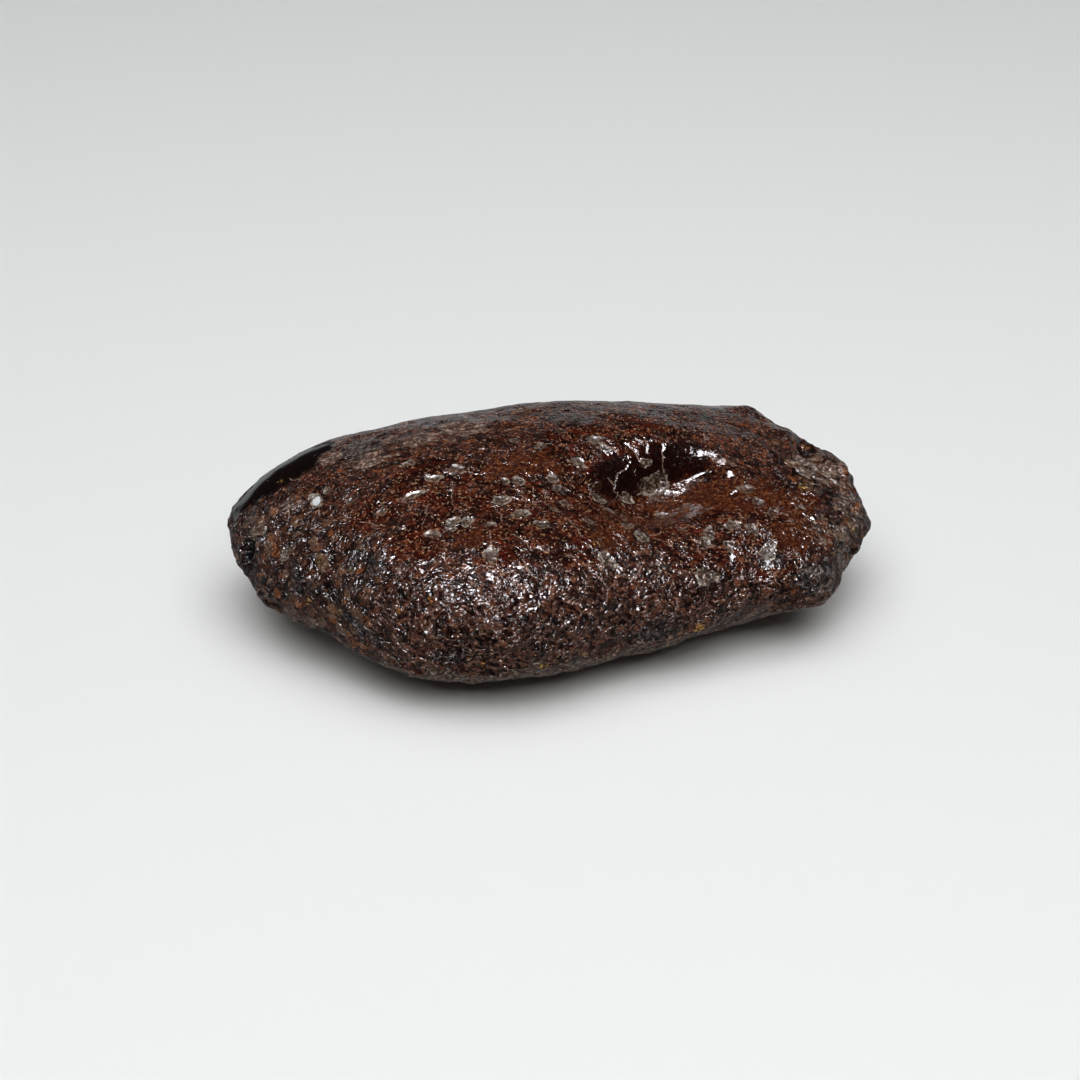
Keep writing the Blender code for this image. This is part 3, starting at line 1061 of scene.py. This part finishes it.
def make_backdrop():
    """A round sweep far behind the floor, seen by the camera only, so low views are pale too."""
    bm = bmesh.new()
    rows = []
    for i in range(SWEEP_ROWS + 1):
        turn = math.radians(90 * i / SWEEP_ROWS)
        rows.append((SWEEP_RADIUS + SWEEP_BEND * math.sin(turn), SWEEP_BEND * (1 - math.cos(turn))))
    rows.append((SWEEP_RADIUS + SWEEP_BEND, SWEEP_TOP))
    rings = [
        [
            bm.verts.new((radius * math.cos(a), radius * math.sin(a), height + MM))
            for a in (2 * math.pi * k / SWEEP_SIDES for k in range(SWEEP_SIDES))
        ]
        for radius, height in rows
    ]
    for lower, upper in zip(rings, rings[1:]):
        for k in range(SWEEP_SIDES):
            after = (k + 1) % SWEEP_SIDES
            bm.faces.new((lower[k], upper[k], upper[after], lower[after]))
    g = Graph("backdrop paper")
    height = g.node("ShaderNodeSeparateXYZ", {0: g.space}).outputs["Z"]
    glow = g.between(height, 0.0, SWEEP_BEND / 2, 0.25 * SWEEP_GLOW, SWEEP_GLOW)
    inputs = dict(PAPER, **{"Emission Color": SWEEP_COLOR, "Emission Strength": glow})
    backdrop = new_piece("backdrop", bm, g.surface(inputs))
    for kind in ("diffuse", "glossy", "transmission", "shadow"):
        setattr(backdrop, "visible_" + kind, False)


def add_panel(name, place, size, power):
    """A rectangular light that faces the nodule."""
    data = bpy.data.lights.new(name, "AREA")
    data.shape = "RECTANGLE"
    data.size, data.size_y = size
    data.energy = power
    panel = bpy.data.objects.new(name, data)
    panel.location = place
    panel.rotation_euler = Vector(place).to_track_quat("Z", "Y").to_euler()
    bpy.context.scene.collection.objects.link(panel)
    return panel


def make_lights():
    """Lamps for the glints, a soft panel and a broad fill, in a dim room with a pale wall."""
    for name, settings in (("lamp", LAMP), ("halo", HALO)):
        light = add_panel(name, *settings)
        light.data.color = LAMP_COLOR
        light.visible_diffuse = False
    for name, settings in (("panel", PANEL), ("fill", FILL)):
        add_panel(name, *settings).visible_glossy = False
    world = bpy.data.worlds.new("room")
    bpy.context.scene.world = world
    world.use_nodes = True
    tree = world.node_tree
    tree.nodes.clear()
    direction = tree.nodes.new("ShaderNodeTexCoord").outputs["Generated"]
    split = tree.nodes.new("ShaderNodeSeparateXYZ")
    tree.links.new(direction, split.inputs[0])

    def ramp(axis, low, high, start, end):
        made = tree.nodes.new("ShaderNodeMapRange")
        made.interpolation_type = "SMOOTHSTEP"
        for name, value in zip(("From Min", "From Max"), (low, high)):
            made.inputs[name].default_value = value
        for name, value in zip(("To Min", "To Max"), (start, end)):
            made.inputs[name].default_value = value
        tree.links.new(split.outputs[axis], made.inputs["Value"])
        return made.outputs[0]

    wall = tree.nodes.new("ShaderNodeMath")
    wall.operation = "MULTIPLY"
    tree.links.new(ramp("Z", 0.02, 0.15, ROOM_PALE, 0), wall.inputs[0])
    tree.links.new(ramp("Z", -0.45, -0.02, ROOM_BELOW, 1), wall.inputs[1])
    pale = tree.nodes.new("ShaderNodeMath")
    pale.operation = "MULTIPLY_ADD"
    tree.links.new(wall.outputs[0], pale.inputs[0])
    tree.links.new(ramp("Y", -0.30, 0.10, 0, 1), pale.inputs[1])
    pale.inputs[2].default_value = ROOM_DIM
    background = tree.nodes.new("ShaderNodeBackground")
    background.inputs["Color"].default_value = ROOM_COLOR
    tree.links.new(pale.outputs[0], background.inputs["Strength"])
    out = tree.nodes.new("ShaderNodeOutputWorld")
    tree.links.new(background.outputs[0], out.inputs["Surface"])
    bpy.context.scene.view_settings.view_transform = "Standard"


# ------------------------------------------------------------------------------------ main


def make_body(camera):
    """The nodule's whole surface, with its relief and its masks."""
    body = smooth_body()
    skin = Skin(body, camera)
    pits = [(skin.place(x, y), *rest) for x, y, *rest in PITS] + scattered_pits(skin)
    lines = crack_lines(skin)
    cracks = [point for line in lines for point in line]
    rims = []
    for (point, normal), length, width, turn, _ in pits:
        along, across = tangents(normal, turn)
        for step in range(RIM_POINTS):
            angle = math.tau * step / RIM_POINTS
            offset = along * math.cos(angle) * length + across * math.sin(angle) * width
            rims.append(point + offset * MM * 0.8)
        rims.append(point)
    refine(body, rims + cracks, RIM_REACH)
    refine(body, cracks, CRACK_REACH)
    shape = Shape(body)
    main_masks(shape, skin)
    main_relief(shape)
    add_pits(shape, skin, pits)
    add_cracks(shape, cracks)
    add_flecks(shape, skin)
    add_knobs(shape, skin)
    steepen_wall(shape, skin)
    add_left_pit(shape, skin)
    settle(shape, body)
    body.data.materials.append(amber_material())
    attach(body, "root")
    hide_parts(NODE)
    print("body triangles", sum(len(face.vertices) - 2 for face in body.data.polygons))
    return body, skin


camera = make_camera()
body, skin = make_body(camera)
make_spangles(skin)
make_bits(skin, "sealed_debris", DEBRIS, (0.08, 0.28), 0.8, debris_material())
make_bits(skin, "sealed_bubbles", BUBBLES, (0.07, 0.2), 0.0, bubble_material())
make_floor()
make_backdrop()
make_lights()
